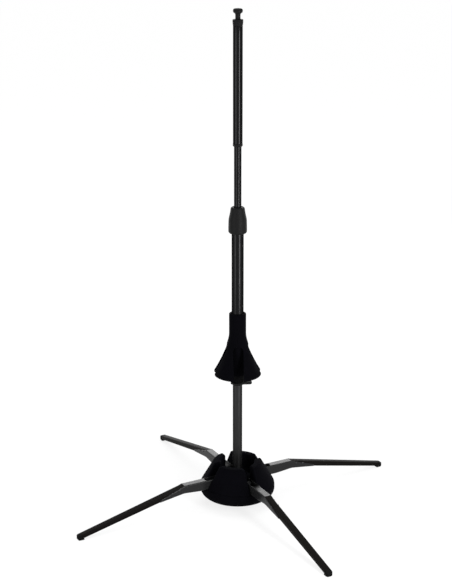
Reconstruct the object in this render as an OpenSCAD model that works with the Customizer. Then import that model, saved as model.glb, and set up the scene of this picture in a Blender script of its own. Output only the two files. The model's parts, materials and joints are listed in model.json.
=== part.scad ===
// Tall folding floor stand for a brass instrument.
// Four legs fold up around a lobed hub, and a telescoping pole carries a slotted bell cone.
// Z is up, the floor is z = 0 and the pole stands on the origin. The legs lie on the X and Y axes.
// Moving pieces are drawn as the stand is used: legs down, pole partly drawn out.

/* [Legs] */
// Pole axis to the tip of a leg
leg_reach = 300; // [240:1:380]
// Pole axis to a leg's hinge pin
pivot_r = 36; // [34:0.5:40]
// Floor to a leg's hinge pin
pivot_z = 46.5; // [45:0.5:52]
// Pole axis to the bend where the bracket ends and the bar begins
bend_r = 106; // [90:1:130]
// Width of the leg bracket
bracket_w = 13.4; // [11:0.2:16]
// Sheet thickness of the leg bracket
bracket_sheet = 1.2; // [0.8:0.1:1.6]
// Hinge pin to the bracket's top face
bracket_rise = 8.2; // [8:0.1:10]
// Hinge pin to the flat on the bracket's heel that the leg spring holds
heel_flat = 8.6; // [7.5:0.1:8.6]
// Length of the cheeks that hold the bar beyond the bend
cheek_len = 46; // [36:1:60]
// Depth of the leg bar at its tip
bar_h = 7; // [6:0.2:9]
// Depth of the leg bar at the bend
bar_root = 10; // [9:0.2:11]
// Wall of the leg bar
bar_wall = 1.2; // [0.8:0.1:1.6]
// Height of the top face of the bar at its tip
tip_z = 7.7; // [7.5:0.1:12]
// Diameter of a leg's hinge pin
pin_d = 5; // [4:0.2:6]
// Diameter of a bar rivet
rivet_d = 3; // [2.4:0.1:3.4]
// Length of the rubber foot beyond the end of the bar
foot_len = 7; // [5:0.5:10]

/* [Hub] */
// Underside of the hub to the floor
hub_z = 16; // [16:0.5:26]
// Largest radius of the hub
hub_r = 64.2; // [60:0.2:76]
// Rounding of the hub's lower edge
hub_round = 12; // [8:0.5:13]
// Floor to the top of the lobes
lobe_z = 77; // [70:0.5:96]
// Radius of the lobes at their top edge
lobe_r = 41; // [38:0.5:48]
// Radius of the round well inside the lobes
well_r = 29; // [27:0.5:30]
// Floor to the bottom of the well
well_z = 50; // [47:0.5:55]
// Floor to the joint between the hub's lobes and its base
seam_z = 37.5; // [36:0.25:37.5]
// Wall of the two hub mouldings
hub_wall = 3; // [2:0.25:4]
// Side clearance of a leg in its slot
slot_gap = 0.8; // [0.6:0.1:2]
// Thickness of the base plate
plate_t = 2; // [1.5:0.25:3]
// Radius of the base plate
plate_r = 48; // [46:0.5:49]
// Pole axis to the base screws
screw_r = 40; // [38:0.5:42]
// Diameter of a base screw
screw_d = 3.4; // [3:0.1:4]
// Thickness of the leg spring
spring_t = 0.8; // [0.5:0.1:1]

/* [Pole] */
// Outer diameter of the upper tube
upper_d = 12; // [10:0.5:16]
// Wall of the upper tube
upper_wall = 1; // [0.8:0.1:1.5]
// Wall of the lower and middle tubes
tube_wall = 1.2; // [1:0.1:2]
// Thickness of the stop ring on the upper tube
stop_t = 0.6; // [0.4:0.1:1]
// Thickness of the nylon bushes between the tubes
bush_t = 0.72; // [0.6:0.02:1]
// Height of the top of the lower tube
lower_top = 322; // [300:1:360]
// Height of the underside of the release lever
lock_z = 217.2; // [200:0.2:260]
// Height of the release lever
lever_h = 5.6; // [4:0.1:6]
// Pole axis to the tip of the release lever
lever_reach = 24.5; // [20:0.5:30]
// Width of the release lever
lever_w = 10; // [8:0.5:14]
// Wall of the lock housing outside the middle tube
housing_wall = 2; // [1.6:0.1:3]
// Turn of the pole's middle section about the pole, from the right leg
section_turn = -25.5; // [-45:0.1:45]

/* [Bell cone] */
// Height of the cone's rim
rim_z = 236.5; // [225:0.5:280]
// Radius of the cone's rim
rim_r = 40; // [34:0.5:46]
// Radius of the cone's neck
neck_r = 14.3; // [14:0.1:18]
// Length of the neck
neck_len = 33.5; // [20:0.5:50]
// Height of the flare below the neck
flare_h = 75; // [60:1:90]
// Radius of the blend from the neck into the flare
neck_blend = 48; // [30:1:60]
// Slope of the flare where it leaves the blend, as a share of its mean slope
flare_lead = 0.72; // [0.5:0.02:0.9]
// Wall of the cone
cone_wall = 3; // [2:0.25:4]
// Width of the four slots in the cone
cone_slot = 17; // [15:0.5:18]
// Height of the slots above the rim
cone_slot_h = 54; // [40:1:58]

/* [Clutch] */
// Height of the clutch above the cone
clutch_rise = 137; // [110:1:180]
// Length of the clutch knob
clutch_h = 44.7; // [38:0.1:60]
// Largest diameter of the clutch knob
clutch_d = 30.7; // [29:0.1:40]
// Diameter of the clutch knob's top face
clutch_top_d = 21.5; // [18:0.1:26]

/* [Top] */
// Bare length of upper tube between the clutch and the sleeve
upper_bare = 100.2; // [97:0.1:200]
// Length of the sleeve
sleeve_len = 191; // [120:1:260]
// Wall of the sleeve
sleeve_wall = 1.65; // [1.2:0.05:3]
// Length of the top collar
collar_h = 9.9; // [8:0.1:14]
// Diameter of the top collar
collar_d = 16.9; // [16.4:0.1:24]
// Length of the knob's neck
knob_neck_h = 9; // [6:0.1:14]
// Diameter of the knob's neck
knob_neck_d = 8.3; // [7.4:0.1:10]
// Height of the knob's head
knob_h = 7.9; // [5:0.1:12]
// Diameter of the knob's head
knob_d = 15.7; // [12:0.1:22]

/* [Hidden] */

$fn = 64;
eps = 1;            // how far a cut runs past a face
seat = 0.05;        // radial clearance of pieces that are pushed or screwed together
run = 0.08;         // radial clearance of pieces that slide or turn on each other
lie = 0.1;          // gap between flat faces that lie on each other

// Leg directions about Z
front = -90;
right = 0;
back = 90;
left = 180;
sides = [front, right, back, left];

// Legs
bend_z = pivot_z + bracket_rise;
slope = atan2(bend_z - tip_z, leg_reach - bend_r);
bar_w = bracket_w - 2 * bracket_sheet - 2 * seat;
bar_len = (leg_reach - bend_r) / cos(slope) - foot_len;
heel_corner = 1.8;  // how far the heel's rounded corners stand out past its flats
heel_r = heel_flat + heel_corner;
bracket_under = pivot_z - heel_flat;
exit_r = 75;        // where the bracket's lower edge starts to rise
bend_depth = 14;    // depth of the bracket at the bend
cheek_end = 4;      // depth of the cheeks at their ends
plate_start = 28;   // from the hinge pin to the bracket's top plate
plate_gap = bracket_sheet * tan(slope) + lie;
rivet_1 = 10;       // rivets along the bar, from the bend
rivet_2 = 24;
rivet_head = 0.6;
plug_len = 12;      // plug of the foot inside the bar
plug_w = bar_w - 2 * bar_wall - 2 * seat;
plug_t = bar_h - 2 * bar_wall - 2 * seat;
pad_len = 2;        // length of the foot under the end of the bar
bar_run = bar_len - pad_len;
cheek_under = bar_root + (bar_h - bar_root) * cheek_len / bar_len;

// Hub
slot_w = bracket_w + 2 * slot_gap;
heel_gap = 3.5;     // between the turning heel and the inner end of its slot
slot_in = pivot_r - heel_r - heel_gap;
cheek_t = 3.5;      // walls beside a slot, which hold the hinge pin
pin_in = 0.2;       // how far the ends of a hinge pin lie inside those walls
seam_in = 0.6;      // how far the side draws in at the seam
seam_drop = 4;      // from the seam down to the widest part
base_round = min(hub_round, seam_z - hub_z - seam_drop);
corner_r = hub_r - base_round;
corner_z = hub_z + base_round;
seam_r = hub_r - seam_in;
wall_run = (seam_r - lobe_r) / (lobe_z - seam_z);
wall_side = hub_wall / cos(atan(wall_run));
lobe_edge = 2;      // bevel at the top edges of the lobes
deck_t = 4;         // deck of the lower moulding, which the leg spring lies on
boss_r = 14;        // boss round the lower tube
post_r = 4;         // posts round the base screws
post_top = 60;
arm_w = bracket_w;  // arms of the leg spring
arm_r = 48.5;
arm_gap = 0.45;
spring_ring_r = 19.8;
spring_top = seam_z - lie;
flex = 1.5;         // room below the arms of the leg spring
screw_head_d = 6.8;
screw_head_h = 1.6;
bolt_d = 8;
bolt_head_h = 5.4;
ledge = 2;          // ledge that the base plate bears on

// Tubes, each sized from the one that runs inside it
stop_play = 0.2;    // between the stop ring and the lower tube
lower_id = upper_d + 2 * (stop_t + stop_play);
lower_d = lower_id + 2 * tube_wall;
mid_id = lower_d + 2 * bush_t + 2 * run;
mid_d = mid_id + 2 * tube_wall;
tube_foot = hub_z + plate_t;
plug_h = 26;
top_bush_len = 12;

// Lock under the cone
lever_ring = 3.8;   // from the lower tube to the outside of the lever
lever_play = 0.45;  // between the lower tube and the lever, which tilts on it
lever_r = lower_d / 2 + lever_ring;
lever_bore = lower_d / 2 + lever_play;
lever_top = lock_z + lever_h;
lever_chamfer = 3.1;
lever_chamfer_h = 3.6;
tab_h = 4.4;
lever_pin_d = 1.5;
lever_pin_in = 1.7; // from the outside of the lever to its pin
lever_pin_down = 1.9;
lever_pin_r = lever_r - lever_pin_in;
lever_pin_z = lever_top - lever_pin_down;
wire_d = 1;         // wire of the lever's spring
wire_play = 0.75;   // between the lower tube and the spring
wire_gap = 0.3;     // between the spring and the pieces around it
coil_r = lower_d / 2 + wire_play + wire_d / 2;
coil_clear = coil_r + wire_d / 2 + wire_gap;
tongue_w = 3.6;     // tongue of the housing, in a notch of the lever
tongue_gap = 0.4;
tongue_play = 0.2;  // how much less the tongue reaches in than the lever
tongue_out = lever_r - tongue_gap;
tongue_in = lever_bore + tongue_play;
tongue_z = lock_z + 1.2;
housing_gap = 1.7;  // between the lever and the housing, for the lever's tilt
housing_r = mid_d / 2 + housing_wall;
housing_z = lever_top + housing_gap;
recess_h = 4.5;     // recess in the housing that the spring sits in
shelf_h = 1.5;
guide_len = 15;
guide_step = 0.2;   // shoulder between the guide bush and the middle tube
guide_r = mid_d / 2 - guide_step;
guide_z = housing_z + recess_h + shelf_h;
tube_seat_z = guide_z + guide_len + lie;
tube_socket = 16;   // length of middle tube inside the housing
housing_top = tube_seat_z + tube_socket;

// Bell cone
flare_top = rim_z + flare_h;
neck_top = flare_top + neck_len;
rim_edge = 5;       // height of the upright edge at the rim
blend_turn = flare_lead * atan((rim_r - neck_r) / (flare_h - rim_edge));
blend_foot = [
    neck_r + neck_blend * (1 - cos(blend_turn)),
    flare_top - neck_blend * sin(blend_turn)
];
flare_run = rim_r - blend_foot[0];
flare_drop = blend_foot[1] - rim_z - rim_edge;
flare_chord = atan(flare_run / flare_drop);
flare_radius = norm([flare_run, flare_drop]) / (2 * sin(flare_chord - blend_turn));
flare_end = 2 * flare_chord - blend_turn;
flare_centre = blend_foot + flare_radius * [cos(blend_turn), sin(blend_turn)];
sheath_wall = 2.2;  // of the tube inside the cone, round the lock housing
sheath_r = housing_r + seat + sheath_wall;
slot_top = rim_z + cone_slot_h;

// Clutch
clutch_z = neck_top + clutch_rise;
clutch_top = clutch_z + clutch_h;
belly_h = 12;       // from the foot of the clutch knob to the top of its widest part
knob_tube = 15.3;   // length of middle tube inside the clutch knob
mid_top = clutch_z + knob_tube;
thread_out = 2.3;   // from the middle tube to the clutch thread
thread_r = mid_d / 2 + thread_out;
body_z = clutch_z + 5;
body_top = clutch_z + 24;
collet_wall = 2.2;
collet_lift = 2;
collet_z = mid_top + collet_lift;
knob_roof = 10;     // thickness of the clutch knob above the collet
knob_ceiling = clutch_top - knob_roof + lie;
collet_top = knob_ceiling - lie;
collet_neck_r = upper_d / 2 + collet_wall;
collet_flange = 3;
mid_bush_len = 26;

// Upper tube and its top
upper_below = 87;   // length of upper tube below the clutch
upper_foot = clutch_z - upper_below;
sleeve_z = clutch_top + upper_bare;
sleeve_r = upper_d / 2 + seat + sleeve_wall;
ring_h = 4.4;
ring_step = 0.3;
sleeve_top = sleeve_z + sleeve_len;
collar_top = sleeve_top + collar_h;
collar_lap = 3;     // how far the collar's plug reaches below the knob's shank
collar_roof = 2;    // thickness of the collar above the upper tube
upper_top = collar_top - collar_roof;
knob_z = collar_top + knob_neck_h;
knob_top = knob_z + knob_h;
shank_d = 6;        // threaded shank of the top knob
shank_len = 14;

// Points of an arc about c, from angle a0 to a1
function arc(c, r, a0, a1, n) = [
    for (i = [0:n]) let (a = a0 + (a1 - a0) * i / n) c + r * [cos(a), sin(a)]
];

// A ring or tube standing on height z
module pipe(r_out, r_in, z, h) {
    translate([0, 0, z]) difference() {
        cylinder(r = r_out, h = h);
        translate([0, 0, -eps]) cylinder(r = r_in, h = h + 2 * eps);
    }
}

// Turns its children to a leg's direction
module at_leg(side) {
    rotate([0, 0, side]) children();
}

// Turns its children with the pole's middle section
module at_section() {
    rotate([0, 0, section_turn]) children();
}

// A side view (distance from the pole, height) made w thick across the leg
module across(w) {
    rotate([90, 0, 0]) translate([0, 0, -w / 2]) linear_extrude(w) children();
}

// A cylinder across the leg at distance r and height z
module cross_pin(r, z, d, len) {
    translate([r, 0, z]) rotate([90, 0, 0]) cylinder(d = d, h = len, center = true);
}

// Along the bar: u runs out from the bend, v up from its top face
module on_bar() {
    translate([bend_r, 0, bend_z]) rotate([0, slope, 0]) children();
}

// Side view of one bracket wall: heel, arm and the cheek that holds the bar
module bracket_side() {
    corner = acos(heel_flat / heel_r);
    rise = asin(bracket_rise / heel_r);
    polygon(concat(
        arc([pivot_r, pivot_z], heel_r, 180 - rise, 180 - corner, 4),
        arc([pivot_r, pivot_z], heel_r, 180 + corner, 270 - corner, 4),
        [
            [exit_r, bracket_under],
            [bend_r, bend_z - bend_depth],
            [bend_r + cheek_len, bend_z - cheek_len * tan(slope) - cheek_under / cos(slope)],
            [bend_r + cheek_len, bend_z - cheek_len * tan(slope) - cheek_under / cos(slope) + cheek_end],
            [bend_r, bend_z]
        ]
    ));
}

module leg_bracket(side) {
    color("#4a4b4e") at_leg(side) difference() {
        union() {
            for (s = [-1, 1]) {
                translate([0, s * (bracket_w - bracket_sheet) / 2, 0]) across(bracket_sheet) bracket_side();
            }
            translate([pivot_r + plate_start, -bracket_w / 2, bend_z - bracket_sheet])
                cube([bend_r - pivot_r - plate_start - plate_gap, bracket_w, bracket_sheet]);
        }
        cross_pin(pivot_r, pivot_z, pin_d + 2 * seat, bracket_w + 2 * eps);
        on_bar() for (u = [rivet_1, rivet_2]) {
            cross_pin(u, -bar_h / 2, rivet_d + 2 * seat, bracket_w + 2 * eps);
        }
    }
}

module leg_bar(side) {
    color("#1d1b1b") at_leg(side) on_bar() difference() {
        across(bar_w) polygon([
            [lie, 0], [lie, -bar_root], [bar_run, -bar_h], [bar_len, -bar_h], [bar_len, 0]
        ]);
        across(bar_w - 2 * bar_wall) polygon([
            [-eps, -bar_wall], [-eps, bar_wall - bar_root], [bar_run, bar_wall - bar_h],
            [bar_len + eps, bar_wall - bar_h], [bar_len + eps, -bar_wall]
        ]);
        for (u = [rivet_1, rivet_2]) {
            cross_pin(u, -bar_h / 2, rivet_d + 2 * seat, bar_w + 2 * eps);
        }
    }
}

module leg_rivets(side) {
    color("#3a3a3c") at_leg(side) on_bar() for (u = [rivet_1, rivet_2]) {
        cross_pin(u, -bar_h / 2, rivet_d, bracket_w + 2 * seat);
        for (s = [-1, 1]) {
            translate([0, s * ((bracket_w + rivet_head) / 2 + seat / 2), 0])
                cross_pin(u, -bar_h / 2, rivet_d + 0.8, rivet_head);
        }
    }
}

module leg_bush(side) {
    len = bracket_w - 2 * bracket_sheet - 2 * lie;
    color("#222224") at_leg(side) difference() {
        cross_pin(pivot_r, pivot_z, pin_d + 4, len);
        cross_pin(pivot_r, pivot_z, pin_d + 2 * seat, len + 2 * eps);
    }
}

// Rubber end: a plug in the bar, a rounded cap and a wedge that stands on the floor
module leg_foot(side) {
    tip_round = 3;
    plan = concat(
        [[leg_reach - 40, -bar_w / 2]],
        arc([leg_reach - tip_round, tip_round - bar_w / 2], tip_round, -90, 0, 6),
        arc([leg_reach - tip_round, bar_w / 2 - tip_round], tip_round, 0, 90, 6),
        [[leg_reach - 40, bar_w / 2]]
    );
    color("#151515") at_leg(side) intersection() {
        union() {
            on_bar() {
                translate([bar_len + lie, -bar_w / 2, -bar_h]) cube([foot_len * 2, bar_w, bar_h]);
                translate([bar_len - pad_len, -bar_w / 2, -2 * bar_h])
                    cube([foot_len * 4, bar_w, bar_h - lie]);
                translate([bar_len + lie, -bar_w / 2, -bar_h - lie - eps])
                    cube([foot_len * 2, bar_w, 2 * eps]);
                translate([bar_len - plug_len, -plug_w / 2, -(bar_h + plug_t) / 2])
                    cube([plug_len + eps, plug_w, plug_t]);
            }
        }
        linear_extrude(bend_z) polygon(plan);
    }
}

// Outer side view of the whole hub, from the seam down
function base_outline() = concat(
    [[seam_r, seam_z], [hub_r, seam_z - seam_drop]],
    arc([corner_r, corner_z], base_round, seam_z - seam_drop > corner_z ? 0 : -4, -90, 12)
);

// Four slots, one over each leg
module leg_slots(w, from_r, z0, z1) {
    for (side = sides) at_leg(side) translate([from_r, -w / 2, z0]) cube([2 * hub_r - from_r, w, z1 - z0]);
}

// Places its children at the four base screws, midway between the legs
module at_screws() {
    for (side = sides) rotate([0, 0, side + 45]) translate([screw_r, 0, 0]) children();
}

// Lobed upper moulding of the hub
module hub_top() {
    color("#0c0c14") difference() {
        rotate_extrude() polygon([
            [lower_d / 2 + seat, seam_z],
            [seam_r, seam_z],
            [lobe_r + wall_run * lobe_edge, lobe_z - lobe_edge],
            [lobe_r - lobe_edge, lobe_z],
            [well_r + lobe_edge, lobe_z],
            [well_r, lobe_z - lobe_edge],
            [well_r, well_z],
            [lower_d / 2 + seat, well_z]
        ]);
        leg_slots(slot_w, slot_in, seam_z - eps, lobe_z + eps);
        difference() {
            rotate_extrude() polygon([
                [well_r + hub_wall, seam_z - eps],
                [seam_r + wall_run * eps - wall_side, seam_z - eps],
                [lobe_r + wall_run * hub_wall - wall_side, lobe_z - hub_wall],
                [well_r + hub_wall, lobe_z - hub_wall]
            ]);
            leg_slots(slot_w + 2 * cheek_t, 0, hub_z, lobe_z);
            at_screws() translate([0, 0, seam_z]) cylinder(r = post_r, h = lobe_z - seam_z);
        }
        at_screws() translate([0, 0, seam_z - eps]) cylinder(d = screw_d + 2 * seat, h = post_top - seam_z);
        for (side = sides) at_leg(side) {
            cross_pin(pivot_r, pivot_z, pin_d + 2 * seat, slot_w + 2 * cheek_t);
        }
    }
}

// Dished lower moulding of the hub, with the pockets that the leg spring bends into
module hub_base() {
    color("#0c0c14") difference() {
        rotate_extrude() polygon(concat(
            [[lower_d / 2 + seat, seam_z]],
            base_outline(),
            [[lower_d / 2 + seat, hub_z]]
        ));
        difference() {
            rotate_extrude() polygon(concat(
                [[boss_r, seam_z - deck_t], [boss_r, tube_foot], [plate_r - ledge, tube_foot]],
                [[plate_r - ledge, hub_z + hub_wall]],
                arc([corner_r, corner_z], base_round - hub_wall, -90, 0, 8),
                [[hub_r - hub_wall, seam_z - deck_t]]
            ));
            at_screws() translate([0, 0, hub_z]) cylinder(r = post_r, h = seam_z - hub_z);
        }
        translate([0, 0, hub_z - eps]) cylinder(r = plate_r + seat, h = plate_t + eps);
        pipe(spring_ring_r + seat, lie, spring_top - spring_t, spring_t + lie + eps);
        difference() {
            leg_slots(slot_w, 0, spring_top - spring_t - flex, seam_z + eps);
            translate([0, 0, hub_z]) cylinder(r = spring_ring_r - eps, h = lobe_z);
            difference() {
                translate([0, 0, hub_z]) cylinder(r = 2 * hub_r, h = lobe_z);
                translate([0, 0, hub_z - eps]) cylinder(r = arm_r + arm_gap, h = lobe_z + 2 * eps);
            }
        }
        at_screws() translate([0, 0, hub_z - eps]) cylinder(d = screw_d + 4 * seat, h = lobe_z);
    }
}

module base_plate() {
    color("#2a2a2c") translate([0, 0, hub_z]) difference() {
        cylinder(r = plate_r, h = plate_t - lie / 2);
        translate([0, 0, -eps]) cylinder(d = bolt_d + 4 * seat, h = plate_t + 2 * eps);
        at_screws() translate([0, 0, -eps]) cylinder(d = screw_d + 4 * seat, h = plate_t + 2 * eps);
    }
}

module base_screws() {
    cross_len = 4;
    cross_w = 0.8;
    cross_h = 0.9;
    color("#5a5b5e") at_screws() difference() {
        union() {
            translate([0, 0, hub_z - eps]) cylinder(d = screw_d, h = post_top - hub_z - eps);
            translate([0, 0, hub_z - screw_head_h]) cylinder(d = screw_head_d, h = screw_head_h);
        }
        for (turn = [0, 90]) rotate([0, 0, turn]) {
            translate([-cross_len / 2, -cross_w / 2, hub_z - screw_head_h - eps])
                cube([cross_len, cross_w, cross_h + eps]);
        }
    }
}

// Flat spring with an arm under the heel of each leg
module leg_spring() {
    color("#8d8f92") translate([0, 0, spring_top - spring_t]) difference() {
        union() {
            cylinder(r = spring_ring_r, h = spring_t);
            for (side = sides) at_leg(side) {
                translate([boss_r, -arm_w / 2, 0]) cube([arm_r - boss_r, arm_w, spring_t]);
            }
        }
        translate([0, 0, -eps]) cylinder(r = lower_d / 2 + 4 * seat, h = spring_t + 2 * eps);
    }
}

module leg_pins() {
    color("#9a9b9e") for (side = sides) at_leg(side) {
        cross_pin(pivot_r, pivot_z, pin_d, slot_w + 2 * (cheek_t - pin_in));
    }
}

// Two nylon washers on each hinge pin, one each side of the bracket
module pivot_washers() {
    t = slot_gap - 3 * lie;
    color("#222224") for (side = sides, s = [-1, 1]) at_leg(side) {
        translate([0, s * (slot_w / 2 - lie - t / 2), 0]) difference() {
            cross_pin(pivot_r, pivot_z, pin_d + 5, t);
            cross_pin(pivot_r, pivot_z, pin_d + 2 * seat, t + 2 * eps);
        }
    }
}

module lower_tube() {
    color("#26272a") pipe(lower_d / 2, lower_id / 2, tube_foot, lower_top - tube_foot);
}

// Threaded plug in the foot of the lower tube
module tube_plug() {
    color("#8d8f92") pipe(lower_id / 2 - seat, bolt_d / 2 + seat, tube_foot, plug_h);
}

module tube_bolt() {
    color("#5a5b5e") {
        translate([0, 0, hub_z - bolt_head_h]) cylinder(d = bolt_d + 5, h = bolt_head_h, $fn = 6);
        translate([0, 0, hub_z - eps]) cylinder(d = bolt_d, h = plate_t + plug_h - 2);
    }
}

// Nylon cap on the lower tube that runs inside the middle tube
module lower_tube_bush() {
    color("#222224") {
        pipe(lower_d / 2 + bush_t, lower_d / 2 + seat / 5, lower_top - top_bush_len, top_bush_len + lie);
        pipe(lower_d / 2 + bush_t, lower_id / 2, lower_top + lie, bush_t);
    }
}

// Nylon guide that the lock housing carries along the lower tube
module guide_bush() {
    color("#222224") pipe(guide_r - seat, lower_d / 2 + run, guide_z, guide_len);
}

module mid_tube() {
    color("#26272a") pipe(mid_d / 2, mid_id / 2, tube_seat_z, mid_top - tube_seat_z);
}

// Moulded end of the middle tube, with a tongue that the release lever hangs on
module lock_housing() {
    color("#1b1b1d") at_section() difference() {
        union() {
            translate([0, 0, housing_z]) cylinder(r = housing_r, h = housing_top - housing_z);
            translate([-tongue_out, -tongue_w / 2, tongue_z])
                cube([tongue_out - tongue_in, tongue_w, lever_top - wire_d / 2 - tongue_z]);
            translate([-tongue_out, -tongue_w / 2, tongue_z])
                cube([tongue_out - coil_clear, tongue_w, housing_z + eps - tongue_z]);
        }
        translate([0, 0, housing_z]) {
            cylinder(r = coil_clear + tongue_play, h = recess_h);
            cylinder(r = lower_d / 2 + wire_gap, h = housing_top);
        }
        translate([0, 0, guide_z]) cylinder(r = guide_r, h = guide_len + eps);
        translate([0, 0, tube_seat_z]) cylinder(r = mid_d / 2 + seat, h = housing_top);
        cross_pin(-lever_pin_r, lever_pin_z, lever_pin_d + 2 * seat, 2 * lever_r);
    }
}

module lever_pin() {
    len = 2 * sqrt(pow(lever_r, 2) - pow(lever_pin_r + 1, 2));
    color("#9a9b9e") at_section() cross_pin(-lever_pin_r, lever_pin_z, lever_pin_d, len);
}

// Ring that jams on the lower tube, with a finger tab that frees it
module lock_lever() {
    notch = 0.6;    // how far the tongue's notch cuts past the bore
    color("#2b2b2d") at_section() difference() {
        union() {
            rotate_extrude() polygon([
                [lever_bore, lock_z],
                [lever_r - lever_chamfer, lock_z],
                [lever_r, lock_z + lever_chamfer_h],
                [lever_r, lever_top],
                [lever_bore, lever_top]
            ]);
            difference() {
                union() {
                    translate([0, -lever_w / 2, lever_top - tab_h])
                        cube([lever_reach - lever_w / 2, lever_w, tab_h]);
                    translate([lever_reach - lever_w / 2, 0, lever_top - tab_h])
                        cylinder(d = lever_w, h = tab_h);
                }
                translate([0, 0, lock_z - eps]) cylinder(r = lever_bore + 1, h = lever_h + 2 * eps);
            }
        }
        translate([-2 * lever_r, -tongue_w / 2 - tongue_gap, lock_z - eps])
            cube([2 * lever_r - lever_bore + notch, tongue_w + 2 * tongue_gap, lever_h + 2 * eps]);
        cross_pin(-lever_pin_r, lever_pin_z, lever_pin_d + 2 * seat, 2 * lever_r);
    }
}

// Coil spring that tips the release lever back
module lock_spring() {
    turns = 3;
    steps = 20;
    ring = 8;
    z0 = lever_top + wire_d / 2 + lie;
    z1 = housing_z + recess_h - wire_d / 2 - lie;
    n = turns * steps;
    points = [
        for (i = [0:n], j = [0:ring - 1])
            let (a = 360 * i / steps, b = 360 * j / ring, r = coil_r + wire_d / 2 * cos(b))
            [r * cos(a), r * sin(a), z0 + (z1 - z0) * i / n + wire_d / 2 * sin(b)]
    ];
    walls = [
        for (i = [0:n - 1], j = [0:ring - 1])
            let (k = (j + 1) % ring)
            [i * ring + j, i * ring + k, (i + 1) * ring + k, (i + 1) * ring + j]
    ];
    first = [for (j = [ring - 1:-1:0]) j];
    last = [for (j = [0:ring - 1]) n * ring + j];
    color("#9a9b9e") polyhedron(points, concat(walls, [first, last]));
}

// Flared cone with four slots, which stands in an instrument's bell
module bell_cone() {
    top_edge = 1.5;
    rim_bead = 0.3;
    bore_r = mid_d / 2 + seat;
    inner_radius = flare_radius + cone_wall;
    inner_start = blend_turn + 4;
    inner_end = asin((flare_centre[1] - rim_z - rim_edge / 2) / inner_radius);
    root_z = flare_centre[1] - inner_radius * sin(inner_start) + 1;
    color("#0c0c14") at_section() difference() {
        rotate_extrude() polygon(concat(
            [[bore_r, neck_top], [neck_r - top_edge, neck_top], [neck_r, neck_top - top_edge]],
            arc([neck_r + neck_blend, flare_top], neck_blend, 180, 180 + blend_turn, 5),
            arc(flare_centre, flare_radius, 181 + blend_turn, 180 + flare_end, 12),
            [[rim_r + rim_bead, rim_z + rim_edge / 2], [rim_r - 1, rim_z], [rim_r - cone_wall, rim_z]],
            arc(flare_centre, inner_radius, 180 + inner_end, 180 + inner_start, 10),
            [[sheath_r, root_z], [sheath_r, rim_z + 1], [sheath_r - 1, rim_z], [housing_r + seat, rim_z]],
            [[housing_r + seat, housing_top + lie], [bore_r, housing_top + lie]]
        ));
        difference() {
            for (turn = [0, 90]) rotate([0, 0, turn]) {
                translate([-2 * rim_r, -cone_slot / 2, rim_z - eps])
                    cube([4 * rim_r, cone_slot, cone_slot_h - cone_slot / 2 + eps]);
                cross_x(slot_top - cone_slot / 2, cone_slot, 4 * rim_r);
            }
            translate([0, 0, rim_z - 2 * eps]) cylinder(r = sheath_r, h = neck_top);
        }
    }
}

// A cylinder along X through the pole axis at height z
module cross_x(z, d, len) {
    translate([0, 0, z]) rotate([0, 90, 0]) cylinder(d = d, h = len, center = true);
}

// Threaded sleeve on top of the middle tube that the clutch knob turns on
module clutch_body() {
    grooves = 6;
    pitch = 2.4;
    run_in = 4;
    groove_w = 0.9;
    groove_h = 0.5;
    color("#1b1b1d") difference() {
        rotate_extrude() polygon([
            [mid_d / 2 + seat, body_z],
            [thread_r, body_z],
            [thread_r, body_top],
            [collet_neck_r + run, body_top],
            [collet_neck_r + run, mid_top + lie],
            [mid_d / 2 + seat, mid_top + lie]
        ]);
        for (i = [0:grooves - 1]) {
            pipe(thread_r + eps, thread_r - groove_h, body_z + run_in + pitch * i, groove_w);
        }
    }
}

// Slit ring that the knob squeezes onto the upper tube
module clutch_collet() {
    slit = 1.2;
    slit_end = 1;
    color("#d9d7cf") difference() {
        union() {
            translate([0, 0, collet_z]) cylinder(r = collet_neck_r, h = collet_top - collet_z);
            translate([0, 0, collet_top - collet_flange]) cylinder(r = thread_r - 1, h = collet_flange);
        }
        translate([0, 0, collet_z - eps]) cylinder(r = upper_d / 2 + run, h = collet_top);
        for (turn = [0:120:240]) rotate([0, 0, turn]) {
            translate([0, -slit / 2, collet_z - eps])
                cube([2 * thread_r, slit, collet_top - collet_z - slit_end]);
        }
    }
}

// Nylon guide for the upper tube, and the stop that keeps it in
module mid_tube_bush() {
    color("#222224") pipe(mid_id / 2 - seat, upper_d / 2 + run, mid_top - mid_bush_len, mid_bush_len);
}

module clutch_knob() {
    r = clutch_d / 2;
    bore = mid_d / 2 + 3 * run;
    neck_bore = upper_d / 2 + 3 * run;
    low_round = min(6, r - bore - lie);
    top_r = clutch_top_d / 2;
    waist = clutch_z + 0.55 * clutch_h;
    color("#2f3032") difference() {
        rotate_extrude() polygon(concat(
            [[bore, clutch_z]],
            arc([r - low_round, clutch_z + low_round], low_round, -90, 0, 8),
            [
                [r, clutch_z + belly_h],
                [r - 0.35, waist],
                [r - 1.6, waist + 5.5],
                [r - 2.9, clutch_top - 8.5],
                [top_r + 0.7, clutch_top - 1.2],
                [top_r - 0.6, clutch_top],
                [neck_bore, clutch_top],
                [neck_bore, knob_ceiling],
                [thread_r - 0.8, knob_ceiling],
                [thread_r + run, body_top + 2],
                [thread_r + run, body_z - 1],
                [bore, body_z - 1]
            ]
        ));
    }
}

module upper_tube() {
    color("#26272a") pipe(upper_d / 2, upper_d / 2 - upper_wall, upper_foot, upper_top - upper_foot);
}

// Ring pressed on the foot of the upper tube
module upper_tube_stop() {
    color("#8d8f92") {
        pipe(upper_d / 2 + stop_t, upper_d / 2 + seat / 5, upper_foot - lie, 8);
        pipe(upper_d / 2 + stop_t, upper_d / 2 - upper_wall, upper_foot - 1.5, 1.5 - lie);
    }
}

module sleeve() {
    color("#222326") pipe(sleeve_r, upper_d / 2 + seat, sleeve_z + ring_h + lie, sleeve_len - ring_h - lie);
}

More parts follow.
